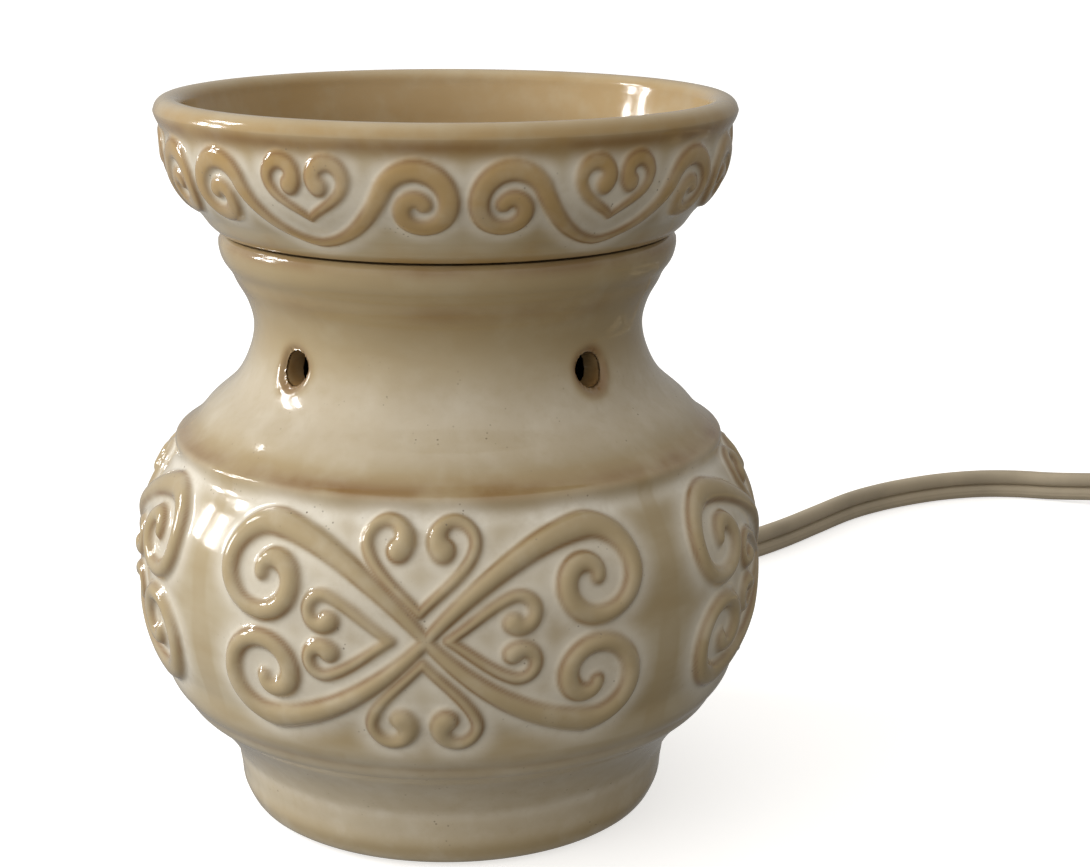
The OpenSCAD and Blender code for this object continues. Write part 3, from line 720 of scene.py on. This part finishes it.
def make_pot(materials):
    outer = outline_rows(smooth_curve(POT_OUTER, 40), pot_steps)
    inner = outline_rows(smooth_curve(POT_INNER, 30), lambda z: 0.8 if 79 < z < 89 else 2.2)
    rest = np.concatenate([POT_LIP, inner[1:], POT_UNDER, POT_FOOT])
    turn = (np.arange(POT_COLUMNS) * 360 / POT_COLUMNS + PANEL_TURN - 180 / PANELS)[None]
    lift, thin, pooled, broken = pot_surface(outer, turn)
    points = lathe_points(outer, lift, rest, turn, with_landing)
    faces = lattice(len(outer) + len(rest), POT_COLUMNS, closed=True)
    shares = glaze_shares(len(points), thin, pooled, broken)
    points, faces, shares = open_vents(points, faces, shares, lift.size)
    pot = mesh_object("glazed_pot", points * MM, faces, "warmer",
                      materials["pot_glaze"], ("body_shell",))
    paint_shares(pot, shares)


# ---------------------------------------------------------------- dish

DISH_COLUMNS = 900
FRIEZES = 6
FRIEZE_TURN = 35.6
FRIEZE_Z = 107.4
FRIEZE_R = 49.6
RIM_Z = 127
RIM_R = 49.7
RIM_T = 4.8
RIM_H = 2.2

# As in part.scad, but for a narrow shadow gap over the pot's lip and a pinprick at the centre
DISH_OUTER = [
    (37.4, 104.15), (39.2, 104.25), (40.1, 104.8), (41.7, 106.3), (45.2, 110), (47.6, 114),
    (48.6, 118), (48.9, 121.8), (49.7, 124.8),
]
DISH_INNER = [
    (44.9, 124.8), (43.6, 120), (42.9, 116), (40.9, 111.5), (36.9, 108.8), (30, 107.8),
    (15, 107.6), (0.02, 107.6),
]
DISH_UNDER = [
    (0.02, 103), (15, 103), (28.4, 103), (29.2, 102.6), (30, 100.9), (30.4, 100.5), (32.3, 100.5),
    (32.9, 100.9), (33.2, 101.4), (33.2, 103.5), (33.5, 103.8), (36, 103.8),
]


def dish_surface(outer):
    """Lift of the dish's outer face in mm, and the glaze's shares on it."""
    z = outer[:, 1:]
    lift, thin, pooled, broken = round_relief(
        dish_strokes(), outer, FRIEZES, DISH_COLUMNS, (FRIEZE_R, FRIEZE_Z),
        height=0.75, roundness=0.4, spread=3.0)
    ground = 0.45 * smoothstep(105.5, 108, z) * smoothstep(123.5, 121, z)
    lift = blurred(lift - ground + bands(z, (124.2, 1.0, 0.15)), 1, 1)
    thin = np.clip(thin + bands(z, (123.4, 2.2, 0.9), (104.4, 0.9, 0.5)), 0, 1)
    broken = np.clip(broken + bands(z, (123.6, 1.0, 0.6), (104.0, 0.4, 0.4)), 0, 1)
    return lift, thin, pooled, broken


def dish_inside_thin(r, z):
    """How thin the glaze runs on the rim, in the bowl and underneath."""
    thin = np.where(r < 46, 0.75, 0.85) - bands(z, (126.8, 0.7, 0.4))
    return np.where(z < 104, 0.3, thin)


def make_dish(materials):
    outer = outline_rows(smooth_curve(DISH_OUTER, 40), lambda z: 0.33)
    lip = [(RIM_R - RIM_T / 2 + RIM_T / 2 * math.cos(a), RIM_Z - RIM_H + RIM_H * math.sin(a))
           for a in np.radians(np.arange(12, 180, 12))]
    inner = outline_rows(smooth_curve(DISH_INNER, 30), lambda z: 1.0)
    rest = np.concatenate([lip, inner, DISH_UNDER])
    turn = (np.arange(DISH_COLUMNS) * 360 / DISH_COLUMNS + FRIEZE_TURN - 180 / FRIEZES)[None]
    lift, thin, pooled, broken = dish_surface(outer)
    points = lathe_points(outer, lift, rest, turn)
    faces = lattice(len(outer) + len(rest), DISH_COLUMNS, closed=True)
    shares = glaze_shares(len(points), thin, pooled, broken)
    shares[lift.size:, 0] = np.repeat(dish_inside_thin(rest[:, 0], rest[:, 1]), DISH_COLUMNS)
    dish = mesh_object("glazed_dish", points * MM, faces, "dish",
                       materials["dish_glaze"], ("wax_dish",))
    paint_shares(dish, shares)


# ---------------------------------------------------------------- stage

def make_stage():
    """A plain pale floor."""
    size = 12.0
    mesh = bpy.data.meshes.new("floor")
    mesh.from_pydata([(-size, -size, 0), (size, -size, 0), (size, size, 0), (-size, size, 0)], [],
                     [(0, 1, 2, 3)])
    floor = bpy.data.objects.new("floor", mesh)
    floor.visible_diffuse = False
    floor.visible_glossy = False
    bpy.context.scene.collection.objects.link(floor)
    s = Shader("floor", (0.86, 0.86, 0.86, 1), 0.6, Emission_Color=(1, 1, 1, 1), Emission_Strength=0.6)
    s.paint(s.mix(s.noise(3, 2), (0.8, 0.8, 0.8, 1), (0.82, 0.82, 0.82, 1)))
    mesh.materials.append(s.material)


def area_light(name, at, target, width, height, power, colour=(1, 1, 1)):
    data = bpy.data.lights.new(name, "AREA")
    data.shape = "RECTANGLE"
    data.size, data.size_y = width, height
    data.energy = power
    data.color = colour
    light = bpy.data.objects.new(name, data)
    light.location = at
    light.rotation_euler = (Vector(target) - Vector(at)).to_track_quat("-Z", "Y").to_euler()
    bpy.context.scene.collection.objects.link(light)
    return light


def make_world():
    """A soft pale surround, brighter above and to the left than below and to the right."""
    world = bpy.data.worlds.new("world")
    world.use_nodes = True
    tree = world.node_tree
    facing = tree.nodes.new("ShaderNodeVectorMath")
    facing.operation = "DOT_PRODUCT"
    facing.inputs[1].default_value = (-0.62, -0.25, 0.74)
    shade = tree.nodes.new("ShaderNodeMapRange")
    for socket, value in (("From Min", -1), ("From Max", 1), ("To Min", 0.1), ("To Max", 0.85)):
        shade.inputs[socket].default_value = value
    around = tree.nodes.new("ShaderNodeTexCoord")
    background = tree.nodes["Background"]
    background.inputs["Color"].default_value = (1, 0.96, 0.9, 1)
    tree.links.new(around.outputs["Generated"], facing.inputs[0])
    tree.links.new(facing.outputs["Value"], shade.inputs["Value"])
    tree.links.new(shade.outputs["Result"], background.inputs["Strength"])
    bpy.context.scene.world = world


def make_lights():
    """Small panes of a window to the left, and one broad soft light in front of them."""
    middle = (0, 0, 0.07)
    for row, z in enumerate((0.35, 0.75)):
        for column, y in enumerate((0.1, 0.28)):
            area_light(f"pane_{row}_{column}", (-1.15, y, z), middle, 0.08, 0.22, 1.6)
    soft = area_light("soft_left", (-1.15, -0.7, 0.75), middle, 1.2, 1.1, 8.0)
    soft.visible_glossy = False
    bpy.context.scene.view_settings.view_transform = "Standard"


def finish_cad_nodes(materials):
    """Every CAD node still shown gets its slot's material."""
    for part in frame["record"]["subparts"]:
        node = NODES[part["node"]]
        node.data.materials.clear()
        node.data.materials.append(materials[part["material_slot"]])


make_camera()
MATERIALS = make_materials()
make_lead(MATERIALS)
make_pot(MATERIALS)
make_dish(MATERIALS)
finish_cad_nodes(MATERIALS)
make_stage()
make_world()
make_lights()
